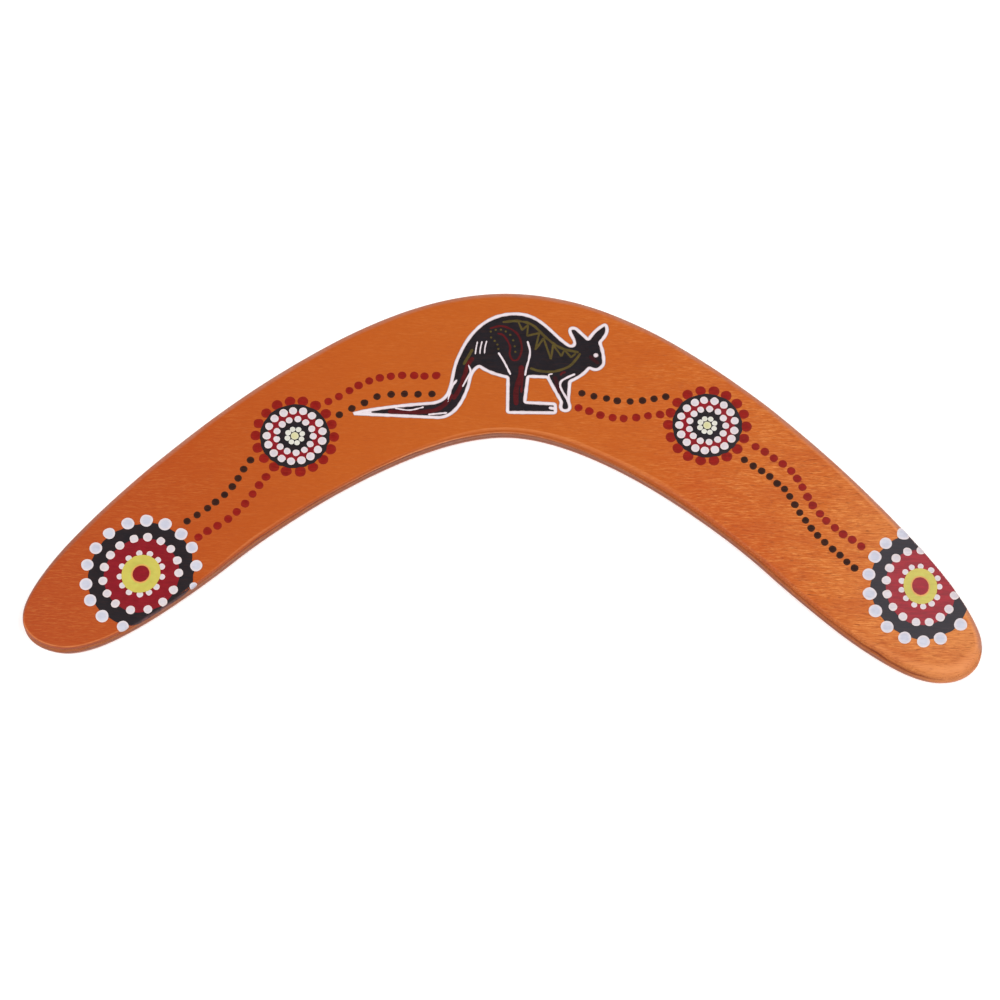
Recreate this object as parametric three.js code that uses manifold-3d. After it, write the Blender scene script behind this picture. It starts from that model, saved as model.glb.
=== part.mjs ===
// Painted wooden boomerang: a flat five-ply board with rounded edges, and dot ornament on its front.
// Millimetres. +X runs from tip to tip, +Y from the tips to the elbow, and +Z out of the painted face.
// The back face lies on Z = 0, and the origin is at the middle of the board's outer box.

import * as THREE from 'three';
import { mergeVertices } from 'three/addons/utils/BufferGeometryUtils.js';
import Module from 'manifold-3d';

// Board
const LENGTH = 325;
const DEPTH = 139;
const ELBOW_WIDTH = 53.6;
const PLY_THICKNESS = 1.2;
const PLIES = ['back_ply', 'lower_cross_ply', 'core_ply', 'upper_cross_ply', 'face_ply'];
const THICKNESS = PLY_THICKNESS * PLIES.length;

// Sanded edges: how far each rounding reaches in from the wall, and down from the face
const FRONT_ROUND = { width: 1.8, drop: 1.1 };
const BACK_ROUND = { width: 0.6, drop: 0.5 };
const ROUND_STEPS = 4;
const CURVE_STEPS = [13, 13, 9, 11, 12];

// Paint: each coat is a film, and a coat on top of another starts one step higher
const FILM = 0.06;
const FILM_STEP = 0.08;
const PAINT_REACH = 0.8;
const JOINING_THREAD = 0.3;
const FINE = 8;
const COARSE = 6;
const DISC_SIDES = 36;

// Large ornaments on the tips. They are slightly oval: stretched along one bearing, in degrees from +X.
// The dots of the rim, and on the right the middle ones, stop where the board's edge cuts the ring.
const TIP_ORNAMENTS = [
  {
    name: 'left_tip',
    oval: { centre: [-122.7, -41.8], stretch: 0.035, bearing: 67 },
    discs: { ground: 18.3, red: 12.6, yellow: 6.5, centre: 2.9 },
    rim: { radius: 19.15, dot: 2.15, bearings: [-11, 11, 32, 50, 70, 89, 108, 130, 151, 172, 193, 212, 233, 256] },
    middle: {
      radius: 13.1,
      dot: 1.5,
      bearings: [4, 24, 45, 65, 85, 105, 128, 149, 171, 193, 215, 235, 259, 285, 309, 335],
      closed: true,
    },
    inner: { radius: 7.1, dot: 1.05, bearings: evenBearings(14, 10), closed: true },
  },
  {
    name: 'right_tip',
    oval: { centre: [141.4, -36.8], stretch: 0.068, bearing: 96 },
    discs: { ground: 18.0, red: 12.4, yellow: 6.2, centre: 3.0 },
    rim: { radius: 18.7, dot: 2.2, bearings: [106, 127, 146, 168, 191, 212, 233, 254, 272, 289, 315] },
    middle: { radius: 12.4, dot: 1.5, bearings: [89, 109, 129, 149, 172, 196, 220, 242, 263, 282, 301, 320, 343] },
    inner: { radius: 6.8, dot: 1.05, bearings: evenBearings(13, 0), closed: true },
  },
];

// Small ornaments half way along the arms: a white flower inside two rings of dots, on black with a red border
const ARM_ORNAMENTS = [
  { name: 'left_arm', oval: { centre: [-73.6, 11.2], stretch: 0, bearing: 0 } },
  { name: 'right_arm', oval: { centre: [68.5, 20.3], stretch: 0, bearing: 0 } },
];
const ARM_GROUND = 11.9;
const ARM_BAND = { inner: 6.3, outer: 9.4 };
const ARM_BORDER = { radius: 13.1, dot: 1.75, bearings: evenBearings(20, 0), closed: true };
const ARM_OUTER = { radius: 9.6, dot: 1.4, bearings: evenBearings(17, 12), closed: true };
const ARM_INNER = { radius: 6.3, dot: 1.2, bearings: evenBearings(13, 0), closed: true };
const FLOWER = { radius: 2.9, lobe: 0.45, petals: 8 };

// Trails of dots between the ornaments: the points each one passes through
const TRAIL_DOT = 1.4;
const TRAILS = [
  { name: 'left_lower_black', dots: 9, path: [[-108.3, -21.6], [-96.3, -11.8], [-88.3, 1.6]] },
  { name: 'left_lower_red', dots: 9, path: [[-104.3, -27.7], [-91.3, -17.5], [-82.8, -4.2]] },
  { name: 'left_upper_red', dots: 11, path: [[-62.6, 25], [-45.2, 34.4], [-25.7, 35.9]] },
  { name: 'left_upper_black', dots: 8, path: [[-58.6, 19.9], [-43.7, 28], [-27, 28.8]] },
  { name: 'right_upper_black', dots: 8, path: [[25.1, 31.3], [39.6, 28.3], [54.2, 30.7]] },
  { name: 'right_upper_red', dots: 8, path: [[23.8, 25.4], [37.8, 22], [52.1, 23.9]] },
  { name: 'right_lower_red', dots: 15, path: [[85.4, 13], [97.3, 4.4], [107.4, -11.4], [121.4, -22.9]] },
  { name: 'right_lower_black', dots: 17, path: [[81.7, 7.7], [94.9, -2.6], [104.5, -16.9], [119, -30.9]] },
];

// Kangaroo
const OUTLINE_WIDTH = 1.0;
const KANGAROO_CURVE_STEPS = 4;

const COLOURS = {
  wood: 0xc4652b,
  crossPly: 0x93502d,
  black: 0x2b262b,
  red: 0x9b1f28,
  trailRed: 0x96191b,
  white: 0xe2e1f0,
  yellow: 0xcdc855,
};

const wasm = await Module();
wasm.setup();

const boomerang = new THREE.Group();

function addPiece(name, geometry, colour, roughness) {
  geometry.computeVertexNormals();
  const material = new THREE.MeshStandardMaterial({ color: colour, roughness, metalness: 0 });
  const mesh = new THREE.Mesh(geometry, material);
  mesh.name = name;
  boomerang.add(mesh);
}

// Half of the outline, from the elbow's outside round the right tip to the elbow's inside
function halfOutlineCurves() {
  const tipX = LENGTH / 2;
  const elbowY = DEPTH / 2;
  const tipY = -DEPTH / 2;
  const insideY = elbowY - ELBOW_WIDTH;
  const corners = [
    [[0, elbowY], [32.5, elbowY], [62.8, 49.2], [84.6, 32.4]],
    [[84.6, 32.4], [111.4, 11.8], [tipX, -40.5], [tipX, -58]],
    [[tipX, -58], [tipX, -64.5], [156.2, tipY], [147.4, tipY]],
    [[147.4, tipY], [134, tipY], [110.1, -50.7], [91.4, -33.3]],
    [[91.4, -33.3], [73.4, -16.6], [30.3, insideY], [0, insideY]],
  ];
  return corners.map((points) => new THREE.CubicBezierCurve(...points.map((p) => new THREE.Vector2(...p))));
}

// Points of the whole outline, anticlockwise, each with its outward normal
function outlinePoints() {
  const right = [];
  halfOutlineCurves().forEach((curve, index) => {
    for (let step = 0; step < CURVE_STEPS[index]; step += 1) {
      const t = step / CURVE_STEPS[index];
      const tangent = curve.getTangent(t);
      right.push({ point: curve.getPoint(t), normal: new THREE.Vector2(-tangent.y, tangent.x) });
    }
  });
  const insideElbow = { point: new THREE.Vector2(0, DEPTH / 2 - ELBOW_WIDTH), normal: new THREE.Vector2(0, -1) };
  const mirrored = ({ point, normal }) => ({
    point: new THREE.Vector2(-point.x, point.y),
    normal: new THREE.Vector2(-normal.x, normal.y),
  });
  const left = right.slice(1).map(mirrored);
  return [right[0], ...left, insideElbow, ...right.slice(1).reverse()];
}

const OUTLINE = outlinePoints();

// A closed solid through the outline at each section, from the lowest to the highest
function loft(sections) {
  const count = OUTLINE.length;
  const positions = [];
  const indices = [];
  sections.forEach(({ inset, z }) => {
    OUTLINE.forEach(({ point, normal }) => {
      positions.push(point.x - normal.x * inset, point.y - normal.y * inset, z);
    });
  });
  for (let level = 0; level < sections.length - 1; level += 1) {
    for (let i = 0; i < count; i += 1) {
      const a = level * count + i;
      const b = level * count + ((i + 1) % count);
      indices.push(a, b, b + count, a, b + count, a + count);
    }
  }
  const top = (sections.length - 1) * count;
  const caps = THREE.ShapeUtils.triangulateShape(OUTLINE.map(({ point }) => point), []);
  caps.forEach(([a, b, c]) => {
    indices.push(a, c, b);
    indices.push(top + a, top + b, top + c);
  });
  const geometry = new THREE.BufferGeometry();
  geometry.setAttribute('position', new THREE.Float32BufferAttribute(positions, 3));
  geometry.setIndex(indices);
  return geometry;
}

// The elliptical rounding from the wall to the front face, grown outwards for a film of paint
function frontRounding(grow) {
  const sections = [];
  for (let step = 0; step <= ROUND_STEPS; step += 1) {
    const angle = (Math.PI / 2) * (step / ROUND_STEPS);
    sections.push({
      inset: FRONT_ROUND.width - (FRONT_ROUND.width + grow) * Math.cos(angle),
      z: THICKNESS - FRONT_ROUND.drop + (FRONT_ROUND.drop + grow) * Math.sin(angle),
    });
  }
  return sections;
}

function backRounding() {
  const sections = [];
  for (let step = 0; step < ROUND_STEPS; step += 1) {
    const angle = (Math.PI / 2) * (1 - step / ROUND_STEPS);
    sections.push({
      inset: BACK_ROUND.width * (1 - Math.cos(angle)),
      z: BACK_ROUND.drop * (1 - Math.sin(angle)),
    });
  }
  sections.push({ inset: 0, z: BACK_ROUND.drop });
  return sections;
}

function plySections(index) {
  const low = { inset: 0, z: index * PLY_THICKNESS };
  const high = { inset: 0, z: (index + 1) * PLY_THICKNESS };
  if (index === 0) {
    return [...backRounding(), high];
  }
  if (index === PLIES.length - 1) {
    return [low, ...frontRounding(0)];
  }
  return [low, high];
}

// Solid from a closed geometry
function solid(geometry) {
  const bare = geometry.clone();
  bare.deleteAttribute('normal');
  bare.deleteAttribute('uv');
  const merged = mergeVertices(bare, 1e-4);
  const mesh = new wasm.Mesh({
    numProp: 3,
    vertProperties: new Float32Array(merged.attributes.position.array),
    triVerts: new Uint32Array(merged.index.array),
  });
  return new wasm.Manifold(mesh);
}

function geometryOf(manifold) {
  const mesh = manifold.getMesh();
  const geometry = new THREE.BufferGeometry();
  geometry.setAttribute('position', new THREE.Float32BufferAttribute(mesh.vertProperties, 3));
  geometry.setIndex(new THREE.Uint32BufferAttribute(mesh.triVerts, 1));
  return geometry;
}

// The board from half its thickness up, with its surface grown outwards
function grownBoard(grow) {
  return solid(loft([{ inset: -grow, z: THICKNESS / 2 }, ...frontRounding(grow)]));
}

// One coat of paint: the stencil, cut to a film that follows the board's face and its rounded edge
function coat(stencil, level) {
  const under = grownBoard((level + 1) * FILM_STEP - FILM);
  const over = grownBoard((level + 1) * FILM_STEP);
  return geometryOf(stencil.intersect(over).subtract(under));
}

// Stencils are upright prisms that start part of the way down the rounded edge
const STENCIL_LOW = THICKNESS - FRONT_ROUND.drop * PAINT_REACH;
const STENCIL_HEIGHT = 3;
const STENCIL_MIDDLE = STENCIL_LOW + STENCIL_HEIGHT / 2;

function shapeStencil(shape, curveSegments) {
  const geometry = new THREE.ExtrudeGeometry(shape, { depth: STENCIL_HEIGHT, bevelEnabled: false, curveSegments });
  geometry.translate(0, 0, STENCIL_LOW);
  return solid(geometry);
}

function discStencil(centre, radius, sides) {
  const geometry = new THREE.CylinderGeometry(radius, radius, STENCIL_HEIGHT, sides);
  geometry.rotateX(Math.PI / 2);
  geometry.translate(centre.x, centre.y, STENCIL_MIDDLE);
  return solid(geometry);
}

function barStencil(from, to, width) {
  const along = to.clone().sub(from);
  const geometry = new THREE.BoxGeometry(along.length(), width, STENCIL_HEIGHT);
  geometry.rotateZ(along.angle());
  geometry.translate((from.x + to.x) / 2, (from.y + to.y) / 2, STENCIL_MIDDLE);
  return solid(geometry);
}

// A row of dots joined by bars, as one solid
function chainStencil(points, dotRadius, sides, barWidth, closed) {
  let chain = discStencil(points[0], dotRadius, sides);
  const links = closed ? points.length : points.length - 1;
  for (let i = 0; i < links; i += 1) {
    const next = points[(i + 1) % points.length];
    chain = chain.add(barStencil(points[i], next, barWidth));
    if (i < points.length - 1) {
      chain = chain.add(discStencil(next, dotRadius, sides));
    }
  }
  return chain;
}

function evenBearings(count, start) {
  return Array.from({ length: count }, (_, i) => start + (360 * i) / count);
}

function ovalPoint({ centre, stretch, bearing }, radius, at) {
  const angle = THREE.MathUtils.degToRad(at);
  const reach = radius * (1 + stretch * Math.cos(2 * (angle - THREE.MathUtils.degToRad(bearing))));
  return new THREE.Vector2(centre[0] + reach * Math.cos(angle), centre[1] + reach * Math.sin(angle));
}

function ovalStencil(oval, radius) {
  const points = evenBearings(DISC_SIDES, 0).map((at) => ovalPoint(oval, radius, at));
  return shapeStencil(new THREE.Shape(points), 1);
}

function dotRing(oval, { radius, dot, bearings, closed = false }, sides) {
  const points = bearings.map((at) => ovalPoint(oval, radius, at));
  return chainStencil(points, dot, sides, JOINING_THREAD, closed);
}

function flowerStencil(oval) {
  const pointsPerPetal = 4;
  const points = evenBearings(FLOWER.petals * pointsPerPetal, 0).map((at) => {
    const lobe = FLOWER.lobe * Math.cos(THREE.MathUtils.degToRad(FLOWER.petals * at));
    return ovalPoint(oval, FLOWER.radius + lobe, at);
  });
  return shapeStencil(new THREE.Shape(points), 1);
}

function kangarooShape() {
  const shape = new THREE.Shape();
  shape.moveTo(-54, 20.4);
  shape.bezierCurveTo(-46, 23, -34, 24.6, -26.5, 25.4); // top of the tail
  shape.bezierCurveTo(-18.5, 27, -21.6, 36, -18.2, 44);
  shape.bezierCurveTo(-14.2, 55.6, -7, 61.4, 1.7, 61.4); // rump and back
  shape.bezierCurveTo(11.5, 61.4, 14.4, 53.8, 20.2, 49.2);
  shape.quadraticCurveTo(23, 48.8, 21.2, 52.2); // nape
  shape.quadraticCurveTo(18.6, 57.6, 22.6, 56.4); // first ear
  shape.lineTo(26.6, 51.6);
  shape.quadraticCurveTo(29, 56, 32.4, 57.8); // second ear
  shape.quadraticCurveTo(34.4, 55, 30.6, 50.8);
  shape.quadraticCurveTo(32.4, 46, 32.2, 42.4); // forehead and nose
  shape.quadraticCurveTo(30.2, 38.8, 27.2, 41);
  shape.quadraticCurveTo(25.4, 37.8, 20.6, 35.4); // throat and chest
  shape.lineTo(20.4, 27.6);
  shape.lineTo(20.6, 23.6); // paw
  shape.lineTo(17.4, 23.8);
  shape.lineTo(17.2, 27.4);
  shape.lineTo(12.8, 36.8);
  shape.lineTo(6, 36.8); // belly
  shape.lineTo(5.2, 26.8);
  shape.lineTo(15.8, 26.6); // foot
  shape.lineTo(16, 23.2);
  shape.lineTo(-0.6, 22.8);
  shape.lineTo(-0.9, 36.2);
  shape.quadraticCurveTo(-8, 37.6, -11, 40.2); // thigh
  shape.quadraticCurveTo(-14, 38.6, -14.4, 33); // underside of the tail
  shape.quadraticCurveTo(-17.4, 20.6, -24.2, 20);
  shape.closePath();
  return shape;
}

function addPlies() {
  PLIES.forEach((name, index) => {
    const crossGrain = index % 2 === 1;
    addPiece(name, loft(plySections(index)), crossGrain ? COLOURS.crossPly : COLOURS.wood, 0.45);
  });
}

function addTipOrnament({ name, oval, discs, rim, middle, inner }) {
  addPiece(`${name}_ground`, coat(ovalStencil(oval, discs.ground), 0), COLOURS.black, 0.5);
  addPiece(`${name}_rim_dots`, coat(dotRing(oval, rim, FINE), 1), COLOURS.white, 0.55);
  addPiece(`${name}_red_disc`, coat(ovalStencil(oval, discs.red), 1), COLOURS.red, 0.5);
  addPiece(`${name}_middle_dots`, coat(dotRing(oval, middle, FINE), 2), COLOURS.white, 0.55);
  addPiece(`${name}_inner_dots`, coat(dotRing(oval, inner, COARSE), 2), COLOURS.white, 0.55);
  addPiece(`${name}_yellow_disc`, coat(ovalStencil(oval, discs.yellow), 3), COLOURS.yellow, 0.5);
  addPiece(`${name}_centre`, coat(ovalStencil(oval, discs.centre), 4), COLOURS.red, 0.5);
}

function addArmOrnament({ name, oval }) {
  const band = ovalStencil(oval, ARM_BAND.outer).subtract(ovalStencil(oval, ARM_BAND.inner));
  addPiece(`${name}_border_dots`, coat(dotRing(oval, ARM_BORDER, FINE), 0), COLOURS.trailRed, 0.55);
  addPiece(`${name}_ground`, coat(ovalStencil(oval, ARM_GROUND), 1), COLOURS.black, 0.5);
  addPiece(`${name}_red_band`, coat(band, 2), COLOURS.red, 0.5);
  addPiece(`${name}_outer_dots`, coat(dotRing(oval, ARM_OUTER, COARSE), 3), COLOURS.white, 0.55);
  addPiece(`${name}_inner_dots`, coat(dotRing(oval, ARM_INNER, COARSE), 3), COLOURS.white, 0.55);
  addPiece(`${name}_flower`, coat(flowerStencil(oval), 2), COLOURS.white, 0.55);
}

function addTrail({ name, dots, path }) {
  const curve = new THREE.SplineCurve(path.map((p) => new THREE.Vector2(...p)));
  const stencil = chainStencil(curve.getSpacedPoints(dots - 1), TRAIL_DOT, COARSE, JOINING_THREAD, false);
  const colour = name.endsWith('red') ? COLOURS.trailRed : COLOURS.black;
  addPiece(`${name}_trail`, coat(stencil, 0), colour, 0.55);
}

function addKangaroo() {
  const shape = kangarooShape();
  const points = shape.getPoints(KANGAROO_CURVE_STEPS).slice(0, -1);
  const outline = chainStencil(points, OUTLINE_WIDTH / 2, COARSE, OUTLINE_WIDTH, true);
  addPiece('kangaroo_body', coat(shapeStencil(shape, KANGAROO_CURVE_STEPS), 0), COLOURS.black, 0.5);
  addPiece('kangaroo_outline', coat(outline, 1), COLOURS.white, 0.55);
}

addPlies();
TIP_ORNAMENTS.forEach(addTipOrnament);
ARM_ORNAMENTS.forEach(addArmOrnament);
TRAILS.forEach(addTrail);
addKangaroo();

export default boomerang;
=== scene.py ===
"""Painted wooden boomerang: fine surfaces, materials, light and camera. Shapes are in millimetres."""
import math

import bpy
import numpy as np
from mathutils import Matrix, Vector


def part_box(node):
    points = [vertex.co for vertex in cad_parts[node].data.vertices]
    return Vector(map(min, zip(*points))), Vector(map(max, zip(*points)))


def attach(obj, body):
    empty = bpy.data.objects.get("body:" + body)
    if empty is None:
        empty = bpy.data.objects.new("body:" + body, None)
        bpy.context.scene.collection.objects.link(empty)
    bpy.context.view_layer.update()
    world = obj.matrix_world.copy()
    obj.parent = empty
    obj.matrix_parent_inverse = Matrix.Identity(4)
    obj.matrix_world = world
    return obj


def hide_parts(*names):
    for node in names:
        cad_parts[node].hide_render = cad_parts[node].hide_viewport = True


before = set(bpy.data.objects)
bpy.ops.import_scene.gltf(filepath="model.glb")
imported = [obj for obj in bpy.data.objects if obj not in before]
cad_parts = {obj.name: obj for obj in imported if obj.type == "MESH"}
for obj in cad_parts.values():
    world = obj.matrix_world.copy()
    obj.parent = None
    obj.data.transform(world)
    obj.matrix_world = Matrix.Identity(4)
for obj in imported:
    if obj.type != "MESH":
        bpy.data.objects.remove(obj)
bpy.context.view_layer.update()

MM = 0.001

# The board's driving sizes, from the frame
BOARD_LOW, BOARD_HIGH = (np.array(corner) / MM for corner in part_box("core_ply"))
TIP_X, ELBOW_Y, TIP_Y = BOARD_HIGH[0], BOARD_HIGH[1], BOARD_LOW[1]
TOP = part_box("face_ply")[1][2] / MM
# How wide the board is at the elbow, and how many veneers it has
ELBOW_WIDTH = 53.6
PLY_COUNT = 5

# Half of the outline as Bezier curves, from the elbow's outside round the right tip to its inside
HALF_OUTLINE = (
    ((0, ELBOW_Y), (32.5, ELBOW_Y), (62.8, 49.2), (84.6, 32.4)),
    ((84.6, 32.4), (111.4, 11.8), (TIP_X, -40.5), (TIP_X, -58)),
    ((TIP_X, -58), (TIP_X, -64.5), (156.2, TIP_Y), (147.4, TIP_Y)),
    ((147.4, TIP_Y), (134, TIP_Y), (110.1, -50.7), (91.4, -33.3)),
    ((91.4, -33.3), (73.4, -16.6), (30.3, ELBOW_Y - ELBOW_WIDTH), (0, ELBOW_Y - ELBOW_WIDTH)),
)
OUTLINE_STEPS = (80, 100, 40, 70, 85)

# How far the saw strayed outwards from that line, at even steps anticlockwise from the elbow's outside
STRAY = (-0.4, -0.4, -0.4, -0.2, 0.3, 0.3, -0.9, -0.4, 0.5, 0.3, 0.3, 0.3, 0.3,
         0.2, -0.1, -0.1, -0.1, 0, 0, -0.4, 0.4, 0.4, 0.1, -0.1, -0.2)

# Paint: a film's thickness, how high the first coat starts, and how much higher each next one does
FILM = 0.06
FIRST_COAT = 0.02
FILM_STEP = 0.08


def bend(points, steps):
    """A Bezier curve of any degree, without its last point."""
    t = np.arange(steps)[:, None] / steps
    level = [np.array(p, float) * np.ones((steps, 1)) for p in points]
    while len(level) > 1:
        level = [a * (1 - t) + b * t for a, b in zip(level, level[1:])]
    return level[0]


def outward(points):
    """The outward normals of a closed anticlockwise line."""
    tangent = np.roll(points, -1, axis=0) - np.roll(points, 1, axis=0)
    tangent /= np.linalg.norm(tangent, axis=1)[:, None]
    return np.column_stack([tangent[:, 1], -tangent[:, 0]])


def make_outline():
    """The whole outline, anticlockwise, with its outward normals."""
    right = np.vstack([bend(points, steps) for points, steps in zip(HALF_OUTLINE, OUTLINE_STEPS)])
    inside_elbow = np.array([HALF_OUTLINE[-1][-1]])
    left = right[1:] * (-1, 1)
    points = np.vstack([right[:1], left, inside_elbow, right[:0:-1]])
    at = np.arange(len(points)) * len(STRAY) / len(points)
    stray = np.interp(at, range(len(STRAY) + 1), STRAY + STRAY[:1])
    blur = np.hanning(17) / np.hanning(17).sum()
    stray = np.convolve(np.pad(stray, 8, mode="wrap"), blur, mode="valid")
    points = points + outward(points) * stray[:, None]
    return points, outward(points)


OUTLINE, NORMALS = make_outline()


def wander(count, waves, seed):
    """A smooth closed line that wanders between about -1 and 1."""
    rng = np.random.default_rng(seed)
    turn = np.linspace(0, 2 * math.pi, count, endpoint=False)
    total = sum(rng.normal() * np.sin(k * turn + rng.uniform(0, 2 * math.pi)) for k in waves)
    return total / math.sqrt(len(waves))


# The concave edge, by station along X. Lengths are in millimetres and the other rows are shares of 1.
CONCAVE_EDGE = {
    "station": (-150, -105, -85, -68, -34, 0, 51, 70, 112, 128, 138, 150),
    # The front rounding
    "width": (0.5, 0.4, 1.2, 0.8, 1.0, 1.4, 2.2, 2.2, 2.3, 2.4, 2.4, 2.8),
    "drop": (1.8, 2.2, 1.6, 1.8, 0.8, 1.0, 2.0, 2.1, 2.4, 2.6, 3.0, 3.6),
    # How strongly its crest, its foot and all of it carry a painted golden highlight
    "crest": (0.8, 0.0, 0.4, 0.05, 0.0, 0.5, 0.3, 0.0, 0.0, 0.4, 0.6, 0.9),
    "foot": (0.3, 0.2, 0.2, 0.1, 1.0, 0.6, 0.2, 0.1, 0.1, 0.0, 0.0, 0.3),
    "painted_highlight": (0, 0, 0, 0, 0, 0, 0, 0, 0, 0.1, 0.3, 0.8),
    # The height where the stain ends, and the height and strength of the dark line that it left
    "stain": (2.0, 3.6, 3.4, 2.8, 4.2, 4.2, 3.4, 3.2, 2.6, 2.8, 2.4, 0.8),
    "line": (4.6, 4.2, 5.0, 4.4, 4.0, 4.4, 4.8, 4.4, 4.9, 4.6, 3.9, 3.6),
    "strength": (0.6, 0.4, 1.0, 1.0, 0.7, 0.1, 0.4, 0.4, 0.5, 1.0, 1.0, 0.1),
    # Painted contact shadow beside the back's edge
    "low_shadow": (0, 0, 0.1, 0.2, 0.1, 0.1, 0.2, 0.4, 0.6, 0.2, 0.1, 0),
}
# The front rounding of the convex edge, which narrows to half its width round the end of the left tip
CONVEX_WIDTH = 2.2
CONVEX_DROP = 1.1


def concave(row):
    """A row of the table of the concave edge, at each outline point."""
    return np.interp(OUTLINE[:, 0], CONCAVE_EDGE["station"], CONCAVE_EDGE[row])


def round_sizes():
    """Width and drop of the front rounding at each outline point."""
    inside = np.clip(-NORMALS[:, 1] * 2 + 0.5, 0, 1)
    convex_width = CONVEX_WIDTH * np.interp(OUTLINE[:, 0], (-160, -146), (0.5, 1))
    width = convex_width * (1 - inside) + concave("width") * inside
    drop = CONVEX_DROP * (1 - inside) + concave("drop") * inside
    unsteady = 1 + 0.07 * wander(len(OUTLINE), range(3, 40), 11)
    return width * unsteady, drop * unsteady


ROUND_WIDTH, ROUND_DROP = round_sizes()
# How high the back's eased edge reaches up the side
BACK_EASE = 0.7 * (1 + 0.2 * wander(len(OUTLINE), range(3, 30), 23))


def climb(height):
    """How far up the front rounding a height is, at each outline point: 0 at its foot, 1 at the face."""
    return np.clip((height - TOP + ROUND_DROP) / ROUND_DROP, 0, 1)


def wall_inset(height):
    """How far the board's side lies in from its widest outline at a height."""
    front = ROUND_WIDTH * (1 - np.sqrt(1 - climb(height) ** 2))
    under = np.clip(1 - height / BACK_EASE, 0, 1)
    return front + 0.8 * BACK_EASE * (1 - np.sqrt(1 - under**2))


def edge_place(points):
    """How far each point lies in from the outline, and the outline point that it is nearest to."""
    offset = points[:, None, :] - OUTLINE[None]
    nearest = np.argmin((offset**2).sum(axis=2), axis=1)
    rows = np.arange(len(points))
    return -(offset[rows, nearest] * NORMALS[nearest]).sum(axis=1), nearest


BEND = np.linspace(0, math.pi / 2, 33)


def round_arcs(width, drop):
    """Distance along a rounding's quarter ellipse, from the crest to each angle in BEND."""
    speed = np.hypot(width[:, None] * np.cos(BEND), drop[:, None] * np.sin(BEND))
    steps = (speed[:, 1:] + speed[:, :-1]) / 2 * BEND[1]
    return np.hstack([np.zeros((len(width), 1)), np.cumsum(steps, axis=1)])


# How far past the crest flat paint reaches before it is rubbed away: as far as the rounding is long
PAINT_REACH = round_arcs(ROUND_WIDTH, ROUND_DROP)[:, -1]


def drape(points, lift):
    """Lays flat points on the board's front, bent over the rounding where they are past its crest."""
    inward, nearest = edge_place(points)
    width, drop = ROUND_WIDTH[nearest], ROUND_DROP[nearest]
    past = np.clip(width - inward, 0, None)
    angle = np.zeros(len(points))
    bent = np.flatnonzero(past)
    for i, arcs in zip(bent, round_arcs(width[bent], drop[bent])):
        angle[i] = np.interp(past[i], arcs, BEND)
    lean = np.column_stack([drop * np.sin(angle), width * np.cos(angle)])
    lean /= np.linalg.norm(lean, axis=1)[:, None]
    shift = np.where(past > 0, inward - width * (1 - np.sin(angle)), 0) + lean[:, 0] * lift
    flat = points + NORMALS[nearest] * shift[:, None]
    return np.column_stack([flat, TOP - drop * (1 - np.cos(angle)) + lean[:, 1] * lift])


# Meshes

# The angle in degrees that makes an edge sharp, the length of a stroke's sections, and the sides of a disc
SHARP_ANGLE = 40
STROKE_STEP = 0.3
OVAL_SIDES = 200


class Piece:
    """Collects the points, faces and per-point marks of one visual piece."""

    def __init__(self):
        self.points = []
        self.faces = []
        self.marks = []

    def add(self, points, faces, marks):
        start = len(self.points)
        self.points.extend(points)
        self.faces.extend([[start + i for i in face] for face in faces])
        self.marks.extend(marks)

    def make(self, name, material, node=None, mark="rim"):
        """Makes the piece, which replaces a CAD node where one is named. mark names its per-point marks."""
        mesh = bpy.data.meshes.new(name)
        mesh.from_pydata([tuple(np.array(p) * MM) for p in self.points], [], self.faces)
        marks = np.array(self.marks, np.float32)
        kind, field = ("FLOAT", "value") if marks.ndim == 1 else ("FLOAT_VECTOR", "vector")
        mesh.attributes.new(mark, kind, "POINT").data.foreach_set(field, marks.ravel())
        mesh.materials.append(material)
        mesh.shade_smooth()
        mesh.set_sharp_from_angle(angle=math.radians(SHARP_ANGLE))
        mesh.validate()
        piece = bpy.data.objects.new(name, mesh)
        bpy.context.collection.objects.link(piece)
        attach(piece, "root")
        if node:
            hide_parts(node)
        return piece


def tube_faces(rows, columns, closed_rows=False):
    """Quads over a grid of points whose rows are rings. With closed_rows, the last row joins the first."""
    faces = []
    last = rows if closed_rows else rows - 1
    for r in range(last):
        for c in range(columns):
            d = (c + 1) % columns
            up = (r + 1) % rows
            faces.append([r * columns + c, r * columns + d, up * columns + d, up * columns + c])
    return faces


def add_loft(piece, rings):
    """A closed solid through rings of inset, height and marks, each one number or one per outline point."""
    count = len(OUTLINE)
    points = []
    marks = []
    for inset, height, ring_marks in rings:
        flat = OUTLINE - NORMALS * (np.ones(count) * inset)[:, None]
        points.extend(np.column_stack([flat, np.ones(count) * height]))
        marks.extend(np.column_stack([np.ones(count) * mark for mark in ring_marks]))
    faces = tube_faces(len(rings), count)
    faces.append(list(range(count))[::-1])
    faces.append([(len(rings) - 1) * count + i for i in range(count)])
    piece.add(points, faces, marks)


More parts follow.
